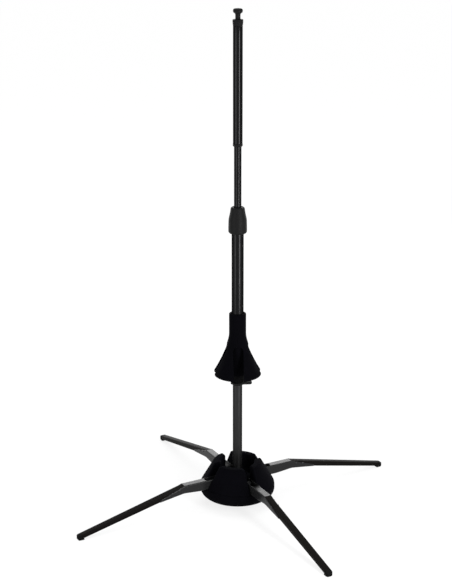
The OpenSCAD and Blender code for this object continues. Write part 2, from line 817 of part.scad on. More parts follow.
// Moulded end ring under the sleeve
module sleeve_ring() {
    color("#2f3032") rotate_extrude() polygon([
        [upper_d / 2 + seat, sleeve_z],
        [sleeve_r - 0.8, sleeve_z],
        [sleeve_r + ring_step, sleeve_z + 1.2],
        [sleeve_r + ring_step, sleeve_z + ring_h],
        [upper_d / 2 + seat, sleeve_z + ring_h]
    ]);
}

// Moulded collar that closes the top of the upper tube and the sleeve
module top_collar() {
    edge = 0.6;
    plug_z = collar_top - shank_len - collar_lap;
    color("#333436") rotate_extrude() polygon([
        [shank_d / 2 + seat, collar_top],
        [collar_d / 2 - edge, collar_top],
        [collar_d / 2, collar_top - edge],
        [collar_d / 2, collar_top - collar_h / 2],
        [sleeve_r + lie, sleeve_top + lie],
        [upper_d / 2 + seat, sleeve_top + lie],
        [upper_d / 2 + seat, upper_top + lie],
        [upper_d / 2 - upper_wall - seat, upper_top + lie],
        [upper_d / 2 - upper_wall - seat, plug_z],
        [shank_d / 2 + seat, plug_z]
    ]);
}

// Mushroom knob on a thin neck, screwed into the collar
module top_knob() {
    r = knob_d / 2;
    neck = knob_neck_d / 2;
    color("#2b2b2d") rotate_extrude() polygon(concat(
        [[0, knob_top], [r * 0.45, knob_top]],
        arc([r - 2.6, knob_top - 3.2], 2.6, 80, -30, 6),
        [
            [neck + 1, knob_z + 0.4],
            [neck, knob_z - 0.8],
            [neck, collar_top + lie],
            [shank_d / 2, collar_top + lie],
            [shank_d / 2, collar_top - shank_len],
            [0, collar_top - shank_len]
        ]
    ));
}

hub_top();
hub_base();
base_plate();
base_screws();
leg_spring();
leg_pins();
pivot_washers();
lower_tube();
tube_plug();
tube_bolt();
lower_tube_bush();
leg_bracket(front);  // front_leg_bracket
leg_bar(front);  // front_leg_bar
leg_rivets(front);  // front_leg_rivets
leg_bush(front);  // front_leg_bush
leg_foot(front);  // front_leg_foot
leg_bracket(right);  // right_leg_bracket
leg_bar(right);  // right_leg_bar
leg_rivets(right);  // right_leg_rivets
leg_bush(right);  // right_leg_bush
leg_foot(right);  // right_leg_foot
leg_bracket(back);  // back_leg_bracket
leg_bar(back);  // back_leg_bar
leg_rivets(back);  // back_leg_rivets
leg_bush(back);  // back_leg_bush
leg_foot(back);  // back_leg_foot
leg_bracket(left);  // left_leg_bracket
leg_bar(left);  // left_leg_bar
leg_rivets(left);  // left_leg_rivets
leg_bush(left);  // left_leg_bush
leg_foot(left);  // left_leg_foot
guide_bush();
mid_tube();
lock_housing();
lever_pin();
lock_lever();
lock_spring();
bell_cone();
clutch_body();
clutch_collet();
mid_tube_bush();
clutch_knob();
upper_tube();
upper_tube_stop();
sleeve();
sleeve_ring();
top_collar();
top_knob();
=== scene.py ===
"""Looks of the folding brass instrument stand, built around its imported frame."""
import json
import math

import bpy
import numpy as np
from mathutils import Matrix, Quaternion, Vector


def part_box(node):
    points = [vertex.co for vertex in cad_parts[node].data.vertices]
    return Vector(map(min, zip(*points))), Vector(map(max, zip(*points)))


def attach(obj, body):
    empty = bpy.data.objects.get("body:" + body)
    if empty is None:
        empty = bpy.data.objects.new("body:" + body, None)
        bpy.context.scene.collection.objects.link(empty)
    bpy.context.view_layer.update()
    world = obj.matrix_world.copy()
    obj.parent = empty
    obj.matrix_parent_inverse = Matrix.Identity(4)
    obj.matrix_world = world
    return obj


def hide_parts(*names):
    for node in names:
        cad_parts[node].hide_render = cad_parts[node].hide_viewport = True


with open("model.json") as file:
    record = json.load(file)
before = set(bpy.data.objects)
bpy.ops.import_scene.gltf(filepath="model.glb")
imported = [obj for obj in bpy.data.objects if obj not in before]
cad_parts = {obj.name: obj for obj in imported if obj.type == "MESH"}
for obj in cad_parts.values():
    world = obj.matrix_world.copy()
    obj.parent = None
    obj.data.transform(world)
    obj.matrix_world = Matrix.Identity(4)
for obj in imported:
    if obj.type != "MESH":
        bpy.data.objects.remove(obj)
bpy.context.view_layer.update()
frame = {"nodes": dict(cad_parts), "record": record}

MM = 0.001

# Sizes in millimetres, the same as in the CAD
SEAT = 0.05    # gap between pieces that fit into each other
LIE = 0.1      # gap between pieces that lie on each other

LEG_REACH, PIVOT_R, PIVOT_Z = 300.0, 36.0, 46.5
BEND_R, BEND_Z, TIP_Z = 106.0, 54.7, 7.7
BRACKET_W, SHEET, HEEL_FLAT, HEEL_R = 13.4, 1.2, 8.6, 10.4
CHEEK_LEN, CHEEK_END, EXIT_R, BEND_DEPTH = 46.0, 4.0, 75.0, 14.0
BAR_H, BAR_ROOT, BAR_WALL, PLUG_LEN = 7.0, 10.0, 1.2, 12.0
FOOT_LEN, PAD_LEN, TIP_ROUND = 7.0, 2.0, 3.0
PLATE_START, PIN_D = 28.0, 5.0
RIVETS, RIVET_D, RIVET_HEAD = (10.0, 24.0), 3.0, 0.6
SLOPE = math.atan2(BEND_Z - TIP_Z, LEG_REACH - BEND_R)
BAR_W = BRACKET_W - 2 * SHEET - 2 * SEAT
BAR_LEN = (LEG_REACH - BEND_R) / math.cos(SLOPE) - FOOT_LEN

HUB_Z, HUB_R, HUB_ROUND, LOBE_Z, LOBE_R = 16.0, 64.2, 12.0, 77.0, 41.0
WELL_R, WELL_Z, SEAM_Z, SEAM_DROP = 29.0, 50.0, 37.5, 4.0
SEAM_R = HUB_R - 0.6
CORNER_R, CORNER_Z = HUB_R - HUB_ROUND, HUB_Z + HUB_ROUND
SLOT_W, SLOT_IN = 15.0, 22.1
PLATE_R, PLATE_T = 48.0, 2.0
SPRING_R, ARM_R, SPRING_POCKET = 19.8, 48.95, 35.1

LOWER_D, MID_D, UPPER_D = 16.0, 20.0, 12.0
TUBE_WALL, UPPER_WALL, SLEEVE_R = 1.2, 1.0, 7.7
TURN = math.radians(-25.5)
LOCK_Z, LEVER_H, LEVER_REACH, LEVER_W, TAB_H = 217.2, 5.6, 24.5, 10.0, 4.4
LEVER_R, LEVER_BORE = LOWER_D / 2 + 3.8, LOWER_D / 2 + 0.45
CHAMFER_H, NOTCH_W, NOTCH_PAST = 3.6, 4.4, 0.6
RIB_DEPTH, TREAD_DEPTH, RIB_TURN = 0.45, 0.35, 2.6    # tab, feet, and radians per millimetre of both
HOUSING_GAP, RECESS_H, SHELF_H, GUIDE_LEN, TUBE_SOCKET = 1.7, 4.5, 1.5, 15, 16
HOUSING_TOP = LOCK_Z + LEVER_H + HOUSING_GAP + RECESS_H + SHELF_H + GUIDE_LEN + LIE + TUBE_SOCKET
RIM_Z, RIM_R, NECK_R, NECK_LEN, FLARE_H = 236.5, 40.0, 14.3, 33.5, 75.0
NECK_BLEND, FLARE_LEAD, SHEATH_R, HOUSING_R = 48.0, 0.72, 14.25, 12.0
CONE_WALL, CONE_SLOT, CONE_SLOT_H, RIM_EDGE = 3.0, 17.0, 54.0, 5.0
CLUTCH_D, CLUTCH_BORE, NECK_BORE, THREAD_BORE, COLLET_R = 30.7, 10.24, 6.24, 12.38, 11.5
GRIP_FOOT, BODY_Z = 1.2, 4.4           # up from the foot of the clutch knob's node
COLLET_ROOF, BODY_TOP = 9.8, 18        # down from its top
SLEEVE_BORE, RING_R = UPPER_D / 2 + SEAT, 8.0
KNOB_D, KNOB_NECK_D, SHANK_D, SHANK_LEN = 15.7, 8.3, 6.0, 14
COLLAR_D, COLLAR_H, COLLAR_ROOF = 16.9, 9.9, 2.0
SIDES = {"front": -90, "right": 0, "back": 90, "left": 180}


# ---------------------------------------------------------------- meshes

def placed(name, data):
    """A new object in the scene."""
    obj = bpy.data.objects.new(name, data)
    bpy.context.scene.collection.objects.link(obj)
    return obj


def make(name, verts, faces, sharp=None):
    """An object from points in millimetres. Edges past the angle sharp, in degrees, stay hard."""
    mesh = bpy.data.meshes.new(name)
    verts = np.asarray(verts, float) * MM
    mesh.from_pydata(verts.tolist(), [], [list(map(int, f)) for f in faces])
    mesh.validate()
    mesh.shade_smooth()
    if sharp:
        mesh.set_sharp_from_angle(angle=math.radians(sharp))
    return placed(name, mesh)


def fillet(corners, steps=5):
    """A closed outline from (x, y, radius) corners, each corner rounded by its radius."""
    out, n = [], len(corners)
    for i in range(n):
        p = Vector(corners[i][:2])
        radius = corners[i][2] if len(corners[i]) > 2 else 0
        a, b = Vector(corners[i - 1][:2]) - p, Vector(corners[(i + 1) % n][:2]) - p
        angle = a.angle(b)
        if radius <= 0 or angle > math.radians(179) or angle < 0.01:
            out.append((p.x, p.y))
            continue
        cut = min(radius / math.tan(angle / 2), a.length * 0.49, b.length * 0.49)
        radius = cut * math.tan(angle / 2)
        centre = p + (a.normalized() + b.normalized()).normalized() * (radius / math.sin(angle / 2))
        v0, v1 = p + a.normalized() * cut - centre, p + b.normalized() * cut - centre
        turn = math.atan2(v0.x * v1.y - v0.y * v1.x, v0.dot(v1))
        for k in range(steps + 1):
            c, s = math.cos(turn * k / steps), math.sin(turn * k / steps)
            out.append((centre.x + c * v0.x - s * v0.y, centre.y + s * v0.x + c * v0.y))
    return out


def lathe(name, outline, segments=96, sharp=40):
    """Turns a closed outline of (radius, height) points about Z. Points on the axis become one pole."""
    turn = 2 * math.pi / segments
    verts, rows = [], []
    for r, z in outline:
        if r < 1e-6:
            rows.append([len(verts)] * segments)
            verts.append((0, 0, z))
        else:
            rows.append(list(range(len(verts), len(verts) + segments)))
            verts += [(r * math.cos(turn * k), r * math.sin(turn * k), z) for k in range(segments)]
    faces = []
    for a, b in zip(rows, rows[1:] + rows[:1]):
        for k in range(segments):
            j = (k + 1) % segments
            face = [a[k], a[j], b[j], b[k]]
            face = [v for n, v in enumerate(face) if v != face[n - 1]]
            if len(set(face)) >= 3:
                faces.append(face)
    obj = make(name, verts, faces, sharp)
    outward(obj)
    return obj


def outward(obj):
    """Turns the faces of a closed mesh so that its volume is positive."""
    mesh = obj.data
    mesh.calc_loop_triangles()
    tri = np.empty(len(mesh.loop_triangles) * 3, int)
    mesh.loop_triangles.foreach_get("vertices", tri)
    co = np.empty(len(mesh.vertices) * 3)
    mesh.vertices.foreach_get("co", co)
    p = co.reshape(-1, 3)[tri.reshape(-1, 3)]
    if np.einsum("ij,ij->i", p[:, 0], np.cross(p[:, 1], p[:, 2])).sum() < 0:
        mesh.flip_normals()


# ---------------------------------------------------------------- shapes from distance fields

def most(a, b, k):
    """The larger of two fields, with the edge between them rounded over about k."""
    h = np.maximum(k - np.abs(a - b), 0) / k
    return np.maximum(a, b) + h * h * k * 0.25


def least(a, b, k):
    """The smaller of two fields, with the corner between them filled over about k."""
    return -most(-a, -b, k)


def outline_field(points, x, y):
    """Distance to a closed outline, below zero inside it."""
    d = np.full(x.shape, 1e9)
    inside = np.zeros(x.shape, bool)
    for (x0, y0), (x1, y1) in zip(points, points[1:] + points[:1]):
        ex, ey, wx, wy = x1 - x0, y1 - y0, x - x0, y - y0
        t = np.clip((wx * ex + wy * ey) / max(ex * ex + ey * ey, 1e-12), 0, 1)
        d = np.minimum(d, np.hypot(wx - t * ex, wy - t * ey))
        if y0 != y1:
            inside ^= ((y0 > y) != (y1 > y)) & (x < ex * (y - y0) / ey + x0)
    return np.where(inside, -d, d)


def sample(field, lo, counts, step, block):
    """The field on a grid. Blocks far from the surface keep the value at their centre."""
    grid = np.stack(np.meshgrid(*[np.arange(c) for c in counts], indexing="ij"), -1).reshape(-1, 3)
    far = field(lo + (grid * block + (block - 1) / 2) * step)
    values = far.reshape(counts)
    for axis in range(3):
        values = np.repeat(values, block, axis)
    near = grid[np.abs(far) < block * step] * block
    inner = np.stack(np.meshgrid(*[np.arange(block)] * 3, indexing="ij"), -1).reshape(-1, 3)
    at = (near[:, None, :] + inner[None, :, :]).reshape(-1, 3)
    values[at[:, 0], at[:, 1], at[:, 2]] = field(lo + at * step)
    return values


def unpinch(values, step):
    """Moves grid values that would let the surface touch itself along an edge."""
    tiny = 0.002 * step
    axes = np.eye(3, dtype=int)
    for _ in range(8):
        inside, moved = values < 0, False
        for u, v in ((0, 1), (1, 2), (0, 2)):
            around_face = [0 * axes[u], axes[u], axes[v], axes[u] + axes[v]]
            size = np.array(inside.shape) - axes[u] - axes[v]
            a, b, c, d = [inside[tuple(slice(o, o + n) for o, n in zip(offset, size))]
                          for offset in around_face]
            for at in np.argwhere((a == d) & (b == c) & (a != b)):
                four = [tuple(at + offset) for offset in around_face]
                if values[four[0]] * values[four[3]] > 0 > values[four[0]] * values[four[1]]:
                    weak = min(four, key=lambda i: abs(values[i]))
                    values[weak] = tiny if values[weak] < 0 else -tiny
                    moved = True
        if not moved:
            break


def surface(name, field, lo, hi, step):
    """The surface where the field is zero, as quads whose corners lie on it."""
    margin, block, pulls = 2.37 * step, 6, 3
    lo, hi = np.array(lo, float) - margin, np.array(hi, float) + margin
    counts = np.ceil((hi - lo) / step / block).astype(int)
    values = sample(field, lo, counts, step, block)
    unpinch(values, step)
    inside = values < 0
    n = np.array(values.shape) - 1
    corners = [np.array([i >> 2 & 1, i >> 1 & 1, i & 1]) for i in range(8)]
    filled = sum(inside[tuple(slice(o, o + m) for o, m in zip(c, n))].astype(int) for c in corners)
    cells = np.argwhere((filled > 0) & (filled < 8))
    number = np.full(n, -1)
    number[tuple(cells.T)] = np.arange(len(cells))
    total, count = np.zeros((len(cells), 3)), np.zeros(len(cells))
    for a in corners:
        for axis in range(3):
            if a[axis]:
                continue
            b = a.copy()
            b[axis] = 1
            va, vb = values[tuple((cells + a).T)], values[tuple((cells + b).T)]
            cross = (va < 0) != (vb < 0)
            t = np.where(cross, va / np.where(cross, va - vb, 1), 0)
            point = a + t[:, None] * (b - a)
            total[cross] += point[cross]
            count[cross] += 1
    verts = lo + (cells + total / count[:, None]) * step
    for _ in range(pulls):
        h = 0.05 * step
        slope = np.stack([field(verts + h * e) - field(verts - h * e) for e in np.eye(3)], -1) / (2 * h)
        size = np.maximum((slope ** 2).sum(-1), 0.2)
        move = -(field(verts) / size)[:, None] * slope
        far = np.maximum(np.linalg.norm(move, axis=1) / (0.45 * step), 1)
        verts = verts + move / far[:, None]
    faces = []
    for axis in range(3):
        u, v = (axis + 1) % 3, (axis + 2) % 3
        first, second = [slice(None)] * 3, [slice(None)] * 3
        first[axis], second[axis] = slice(0, -1), slice(1, None)
        start, end = inside[tuple(first)], inside[tuple(second)]
        edge = np.argwhere(start != end)
        edge = edge[(edge[:, u] > 0) & (edge[:, v] > 0) & (edge[:, u] < n[u]) & (edge[:, v] < n[v])]
        leaves = start[tuple(edge.T)]
        ring = []
        for du, dv in ((-1, -1), (0, -1), (0, 0), (-1, 0)):
            cell = edge.copy()
            cell[:, u] += du
            cell[:, v] += dv
            ring.append(number[tuple(cell.T)])
        ring = np.stack(ring, -1)
        ring[~leaves] = ring[~leaves][:, ::-1]
        faces.append(ring)
    return make(name, verts, np.concatenate(faces))


def turned(points, x, y, z):
    """The field of an outline of (radius, height) points turned about Z."""
    return outline_field(points, np.hypot(x, y), z)


def spun(p, angle):
    """Points as a piece turned by angle sees them."""
    c, s = math.cos(angle), math.sin(angle)
    return p[:, 0] * c + p[:, 1] * s, p[:, 1] * c - p[:, 0] * s, p[:, 2]


# ---------------------------------------------------------------- hub

def hub_top_field(p):
    """Four lobes round a well, with a slot for a leg between each two."""
    x, y, z = p.T
    bore = LOWER_D / 2 + SEAT
    lobes = turned(fillet([
        (bore, SEAM_Z, 0.3), (SEAM_R, SEAM_Z, 0.9), (LOBE_R, LOBE_Z, 4.2),
        (WELL_R, LOBE_Z, 3.6), (WELL_R, WELL_Z, 3.0), (bore, WELL_Z, 0.8),
    ], 4), x, y, z)
    along, across = np.maximum(abs(x), abs(y)), np.minimum(abs(x), abs(y))
    slot = most(across - SLOT_W / 2, SLOT_IN - along, 1.0)
    return most(lobes, -slot, 3.2)


def hub_base_field(p):
    """The bowl under the lobes, open for the base plate, the leg spring and its arms."""
    x, y, z = p.T
    bore = LOWER_D / 2 + SEAT
    bowl = [(CORNER_R + HUB_ROUND * math.cos(a), CORNER_Z + HUB_ROUND * math.sin(a))
            for a in np.linspace(0, -math.pi / 2, 14)]
    seam = [(SEAM_R - 0.6, SEAM_Z), (SEAM_R - 0.1, SEAM_Z - 0.3), (SEAM_R + 0.15, SEAM_Z - 1.0)]
    wall = [(bore, SEAM_Z)] + seam + [(HUB_R, SEAM_Z - SEAM_DROP)] + bowl + [(bore, HUB_Z)]
    shell = turned(wall, x, y, z)
    r = np.hypot(x, y)
    plate = np.maximum(r - PLATE_R - SEAT, z - HUB_Z - PLATE_T)
    across = np.minimum(abs(x), abs(y))
    pocket = np.maximum.reduce([across - SLOT_W / 2, r - ARM_R, SPRING_POCKET - z])
    ring = np.maximum(r - SPRING_R, SEAM_Z - 0.9 - z)
    return np.maximum(most(shell, -plate, 0.8), -np.minimum(pocket, ring))


# ---------------------------------------------------------------- cone

flare_top = RIM_Z + FLARE_H
neck_top = flare_top + NECK_LEN
blend_turn = FLARE_LEAD * math.atan((RIM_R - NECK_R) / (FLARE_H - RIM_EDGE))
blend_foot = (NECK_R + NECK_BLEND * (1 - math.cos(blend_turn)),
              flare_top - NECK_BLEND * math.sin(blend_turn))
flare_run, flare_drop = RIM_R - blend_foot[0], blend_foot[1] - RIM_Z - RIM_EDGE
flare_chord = math.atan(flare_run / flare_drop)
flare_radius = math.hypot(flare_run, flare_drop) / (2 * math.sin(flare_chord - blend_turn))
flare_end = 2 * flare_chord - blend_turn
flare_centre = (blend_foot[0] + flare_radius * math.cos(blend_turn),
                blend_foot[1] + flare_radius * math.sin(blend_turn))


def sweep(centre, radius, start, end, steps):
    """Points of an arc that bulges towards the axis. Angles go down from the level of its centre."""
    return [(centre[0] - radius * math.cos(a), centre[1] - radius * math.sin(a))
            for a in np.linspace(start, end, steps)]


def cone_field(p):
    """Neck and flare, cut into four petals, round a sheath that holds the lock housing."""
    x, y, z = spun(p, TURN)
    bore, housing = MID_D / 2 + SEAT, HOUSING_R + SEAT
    inner_radius = flare_radius + CONE_WALL
    inner_start = blend_turn + math.radians(4)
    inner_end = math.asin((flare_centre[1] - RIM_Z - RIM_EDGE / 2) / inner_radius)
    root = flare_centre[1] - inner_radius * math.sin(inner_start) + 1
    neck = fillet([(bore, flare_top), (bore, neck_top, 0.4),
                   (NECK_R, neck_top, 1.6), (NECK_R, flare_top)], 4)
    rim = fillet([(RIM_R, RIM_Z + RIM_EDGE), (RIM_R + 0.25, RIM_Z + RIM_EDGE / 2, 2),
                  (RIM_R - 0.6, RIM_Z, 1.2), (RIM_R - CONE_WALL, RIM_Z, 0.8),
                  (RIM_R - 8, RIM_Z + 14)], 4)
    foot = RIM_Z + LIE
    sheath = fillet([(SHEATH_R + 4, root), (SHEATH_R, root, 1.0), (SHEATH_R, foot, 0.9),
                     (housing, foot, 0.3), (housing, RIM_Z + 9)], 4)
    wall = (neck[1:-1]
            + sweep((NECK_R + NECK_BLEND, flare_top), NECK_BLEND, 0, blend_turn, 6)
            + sweep(flare_centre, flare_radius, blend_turn, flare_end, 14)[1:]
            + rim[1:-1]
            + sweep(flare_centre, inner_radius, inner_end, inner_start, 12)
            + sheath[1:-1]
            + [(housing, HOUSING_TOP + LIE), (bore, HOUSING_TOP + LIE)])
    body = turned(wall, x, y, z)
    across = np.minimum(abs(x), abs(y))
    arch = RIM_Z + CONE_SLOT_H - CONE_SLOT / 2
    cut = np.where(z > arch, np.hypot(across, z - arch), across) - CONE_SLOT / 2
    cut = most(cut, SHEATH_R - np.hypot(x, y), 0.8)
    return most(body, -cut, 1.1)


# ---------------------------------------------------------------- lock lever

def lever_field(p):
    """A chamfered ring round the lower tube, with a ribbed finger tab and a notch for the tongue."""
    x, y, z = spun(p, TURN)
    r = np.hypot(x, y)
    top = LOCK_Z + LEVER_H
    chamfer = (r - LEVER_R) * 0.758 + (LOCK_Z + CHAMFER_H - z) * 0.652
    ring = most(most(r - LEVER_R, chamfer, 0.8), most(z - top, LOCK_Z - z, 0.8), 0.9)
    tip = LEVER_REACH - LEVER_W / 2
    ribs = RIB_DEPTH * np.maximum(np.cos((x - tip) * RIB_TURN), 0) * (x > LEVER_R + 2)
    slab = most(z - top + ribs, top - TAB_H - z, 1.2)
    tab = most(np.hypot(np.maximum(x - tip, 0), y) - LEVER_W / 2, slab, 1.4)
    tab = np.maximum(most(tab, -x, 0.5), LEVER_BORE - r)
    notch = np.maximum.reduce([abs(y) - NOTCH_W / 2, x, LEVER_BORE - NOTCH_PAST + x])
    return np.maximum.reduce([least(ring, tab, 1.0), LEVER_BORE - r, -notch, z - top, LOCK_Z - z])


# ---------------------------------------------------------------- legs

def bar_place(u, v):
    """A point beside the bar: u along it from the bend, v up from its top face."""
    c, s = math.cos(SLOPE), math.sin(SLOPE)
    return BEND_R + u * c + v * s, BEND_Z - u * s + v * c


def bar_depth(u):
    """Depth of the bar at u, down to the depth at its tip."""
    return BAR_ROOT + (BAR_H - BAR_ROOT) * min(u / (BAR_LEN - PAD_LEN), 1)


def bracket_field(p):
    """A sheet folded over the bar, its heel round the hinge pin, with an open back over the hinge."""
    x, y, z = p.T
    corner, rise = math.acos(HEEL_FLAT / HEEL_R), math.asin((BEND_Z - PIVOT_Z) / HEEL_R)
    heel = [(PIVOT_R + HEEL_R * math.cos(a), PIVOT_Z + HEEL_R * math.sin(a))
            for a in [*np.linspace(math.pi - rise, math.pi - corner, 5),
                      *np.linspace(math.pi + corner, 1.5 * math.pi - corner, 5)]]
    end_x = BEND_R + CHEEK_LEN
    end_z = BEND_Z - CHEEK_LEN * math.tan(SLOPE) - bar_depth(CHEEK_LEN) / math.cos(SLOPE)
    side = heel + fillet([(PIVOT_R, PIVOT_Z - HEEL_FLAT), (EXIT_R, PIVOT_Z - HEEL_FLAT, 30),
                          (BEND_R, BEND_Z - BEND_DEPTH, 30), (end_x, end_z, 0.8),
                          (end_x, end_z + CHEEK_END, 1.6), (BEND_R, BEND_Z, 2.0),
                          (PIVOT_R, BEND_Z)], 5)[1:-1]
    outer = most(outline_field(side, x, z), abs(y) - BRACKET_W / 2, 1.8)
    within = abs(y) - BRACKET_W / 2 + SHEET
    under = np.maximum(within, z - BEND_Z + SHEET)
    gap = SHEET * math.tan(SLOPE) + LIE
    open_top = np.minimum(most(within, x - PIVOT_R - PLATE_START, 5.0),
                          most(within, BEND_R - gap - x, 0.6))
    pin = np.hypot(x - PIVOT_R, z - PIVOT_Z) - PIN_D / 2 - SEAT
    return np.maximum(most(outer, -least(under, open_top, 0.6), 0.5), -pin)


def foot_field(p):
    """A rounded cap over the end of the bar, a ribbed wedge under it and a plug inside it."""
    x, y, z = p.T
    c, s = math.cos(SLOPE), math.sin(SLOPE)
    u = (x - BEND_R) * c - (z - BEND_Z) * s
    v = (x - BEND_R) * s + (z - BEND_Z) * c
    half = BAR_W / 2
    qx, qy = x - (LEG_REACH - TIP_ROUND), np.abs(y) - (half - TIP_ROUND)
    outside, inside = np.hypot(np.maximum(qx, 0), np.maximum(qy, 0)), np.minimum(np.maximum(qx, qy), 0)
    plan = outside + inside - TIP_ROUND
    cap = np.maximum.reduce([BAR_LEN + LIE - u, v, -BAR_H - LIE - v])
    pad = np.maximum(BAR_LEN - PAD_LEN - u, v + BAR_H + LIE)
    tread = TREAD_DEPTH * np.maximum(np.cos(x * RIB_TURN), 0) * (z < 1.2)
    body = most(most(np.minimum(cap, pad), plan, 1.6), -z + tread, 0.8)
    plug = np.maximum.reduce([BAR_LEN - PLUG_LEN - u, u - BAR_LEN - 2,
                              np.abs(y) - half + BAR_WALL + SEAT,
                              np.abs(v + BAR_H / 2) - BAR_H / 2 + BAR_WALL + SEAT])
    return np.minimum(body, plug)


def bar_tube(name):
    """A tube with rounded corners, its ends open, running down from the bend."""
    def ring(inset, radius, u):
        w, depth = BAR_W / 2 - inset, bar_depth(u)
        h = depth / 2 - inset
        loop = fillet([(-w, -h, radius), (w, -h, radius), (w, h, radius), (-w, h, radius)], 6)
        places = [(across, bar_place(u, up - depth / 2)) for across, up in loop]
        return [(x, across, z) for across, (x, z) in places]
    edge, run = 0.25, BAR_LEN - PAD_LEN
    outside, bevel, inside = (0, 1.3), (edge, 1.1), (BAR_WALL, 0.5)
    rings = [ring(*bevel, LIE), ring(*outside, LIE + edge), ring(*outside, run),
             ring(*outside, BAR_LEN - edge), ring(*bevel, BAR_LEN),
             ring(*inside, BAR_LEN), ring(*inside, run), ring(*inside, LIE)]
    n, count = len(rings[0]), len(rings)
    verts = [p for r in rings for p in r]
    faces = []
    for i in range(count):
        near, far = i * n, (i + 1) % count * n
        for k in range(n):
            j = (k + 1) % n
            faces.append([near + k, near + j, far + j, far + k])
    obj = make(name, verts, faces, 40)
    outward(obj)
    return obj


def rivet_pair(name):
    """Two rivets with low domed heads through the cheeks and the bar."""
    half, shank = BRACKET_W / 2, RIVET_D / 2
    rim = shank + 0.4
    head = [(0.0, RIVET_HEAD), (0.7, RIVET_HEAD - 0.03), (1.3, RIVET_HEAD - 0.16),
            (1.7, RIVET_HEAD - 0.36), (rim, 0.05), (shank, 0.0)]
    outline = [(r, half + h) for r, h in head] + [(r, -half - h) for r, h in reversed(head)]
    rivet = lathe("rivet", outline, 32, 60)
    verts, faces = [], []
    for u in RIVETS:
        cx, cz = bar_place(u, -BAR_H / 2)
        base = len(verts)
        verts += [(cx + v.co.x / MM, v.co.z / MM, cz - v.co.y / MM) for v in rivet.data.vertices]
        faces += [[base + i for i in f.vertices] for f in rivet.data.polygons]
    bpy.data.objects.remove(rivet)
    obj = make(name, verts, faces, 50)
    outward(obj)
    return obj


# ---------------------------------------------------------------- materials

def material(name, build, **surface_values):
    """A Principled material. build wires its textures; plain values are set on the shader itself."""
    mat = bpy.data.materials.new(name)
    mat.use_nodes = True
    tree = mat.node_tree
    shader = tree.nodes["Principled BSDF"]
    for socket, value in surface_values.items():
        shader.inputs[socket.replace("_", " ")].default_value = value
    build(Wiring(tree, shader))
    return mat


def maths(tree, operation, a, b):
    """The result of one operation on two sockets."""
    node = tree.nodes.new("ShaderNodeMath")
    node.operation = operation
    tree.links.new(a, node.inputs[0])
    tree.links.new(b, node.inputs[1])
    return node.outputs["Value"]


def spread(tree, value, low, high, to_low, to_high):
    """The value, going from to_low to to_high while it goes from low to high."""
    node = tree.nodes.new("ShaderNodeMapRange")
    ends = {"From Min": low, "From Max": high, "To Min": to_low, "To Max": to_high}
    for socket, number in ends.items():
        node.inputs[socket].default_value = number
    tree.links.new(value, node.inputs["Value"])
    return node.outputs["Result"]


class Wiring:
    """Short names for the nodes that the materials share. Positions are in the object's own space."""

    def __init__(self, tree, shader):
        self.tree, self.shader = tree, shader
        self.place = tree.nodes.new("ShaderNodeTexCoord").outputs["Object"]

    def link(self, a, b):
        self.tree.links.new(a, b)

    def stretch(self, scale):
        node = self.tree.nodes.new("ShaderNodeMapping")
        node.inputs["Scale"].default_value = scale
        self.link(self.place, node.inputs["Vector"])
        return node.outputs["Vector"]

    def noise(self, scale, detail=2.0, rough=0.5, place=None):
        node = self.tree.nodes.new("ShaderNodeTexNoise")
        node.inputs["Scale"].default_value = scale
        node.inputs["Detail"].default_value = detail
        node.inputs["Roughness"].default_value = rough
        self.link(place or self.place, node.inputs["Vector"])
        return node.outputs["Fac"]

    def cells(self, scale):
        node = self.tree.nodes.new("ShaderNodeTexVoronoi")
        node.inputs["Scale"].default_value = scale
        self.link(self.place, node.inputs["Vector"])
        return node.outputs["Distance"]

    def span(self, value, low, high, to_low, to_high):
        return spread(self.tree, value, low, high, to_low, to_high)

    def worn(self, low, high):
        """1 on edges more pointed than high, 0 on those below low, broken up by a noise."""
        edge = self.tree.nodes.new("ShaderNodeNewGeometry").outputs["Pointiness"]
        patches = self.span(self.noise(260, 4, 0.6), 0.42, 0.62, 0, 1)
        return maths(self.tree, "MULTIPLY", self.span(edge, low, high, 0, 1), patches)

    def mix(self, factor, a, b):
        node = self.tree.nodes.new("ShaderNodeMix")
        node.data_type = "RGBA"
        self.link(factor, node.inputs["Factor"])
        for socket, colour in ((node.inputs[6], a), (node.inputs[7], b)):
            if isinstance(colour, tuple):
                socket.default_value = (*colour, 1)
            else:
                self.link(colour, socket)
        return node.outputs[2]

    def add(self, *values):
        total = values[0]
        for value in values[1:]:
            total = maths(self.tree, "ADD", total, value)
        return total

    def colour(self, value):
        self.link(value, self.shader.inputs["Base Color"])

    def rough(self, value):
        self.link(value, self.shader.inputs["Roughness"])

    def bump(self, height, strength, distance):
        node = self.tree.nodes.new("ShaderNodeBump")
        node.inputs["Strength"].default_value = strength
        node.inputs["Distance"].default_value = distance * MM
        self.link(height, node.inputs["Height"])
        self.link(node.outputs["Normal"], self.shader.inputs["Normal"])


def velvet(w):
    """Flock: a fine nap, brushed lighter in broad patches."""
    nap = w.noise(1900, 2, 0.7)
    brushed = w.noise(42, 3, 0.6)
    tufts = w.mix(w.span(nap, 0.35, 0.68, 0, 1), (0.0004, 0.0004, 0.0007), (0.0017, 0.0016, 0.0026))
    w.colour(w.mix(w.span(brushed, 0.42, 0.66, 0, 0.55), tufts, (0.0020, 0.0019, 0.0029)))
    w.rough(w.span(brushed, 0.3, 0.7, 0.82, 1.0))
    w.bump(w.add(w.span(nap, 0, 1, 0, 1), w.span(brushed, 0, 1, 0, 0.6)), 0.55, 0.25)


def gloss_paint(tint, edge, low, high):
    """Smooth paint that runs a little unevenly. low and high are the ends of its roughness."""
    def build(w):
        coat = w.mix(w.noise(30, 3), tint, tuple(c * 1.35 for c in tint))
        w.colour(w.mix(w.worn(0.56, 0.66), coat, edge))
        w.rough(w.span(w.noise(160, 4, 0.6), 0.3, 0.7, low, high))
        w.bump(w.noise(90, 2), 0.03, 0.03)
    return build


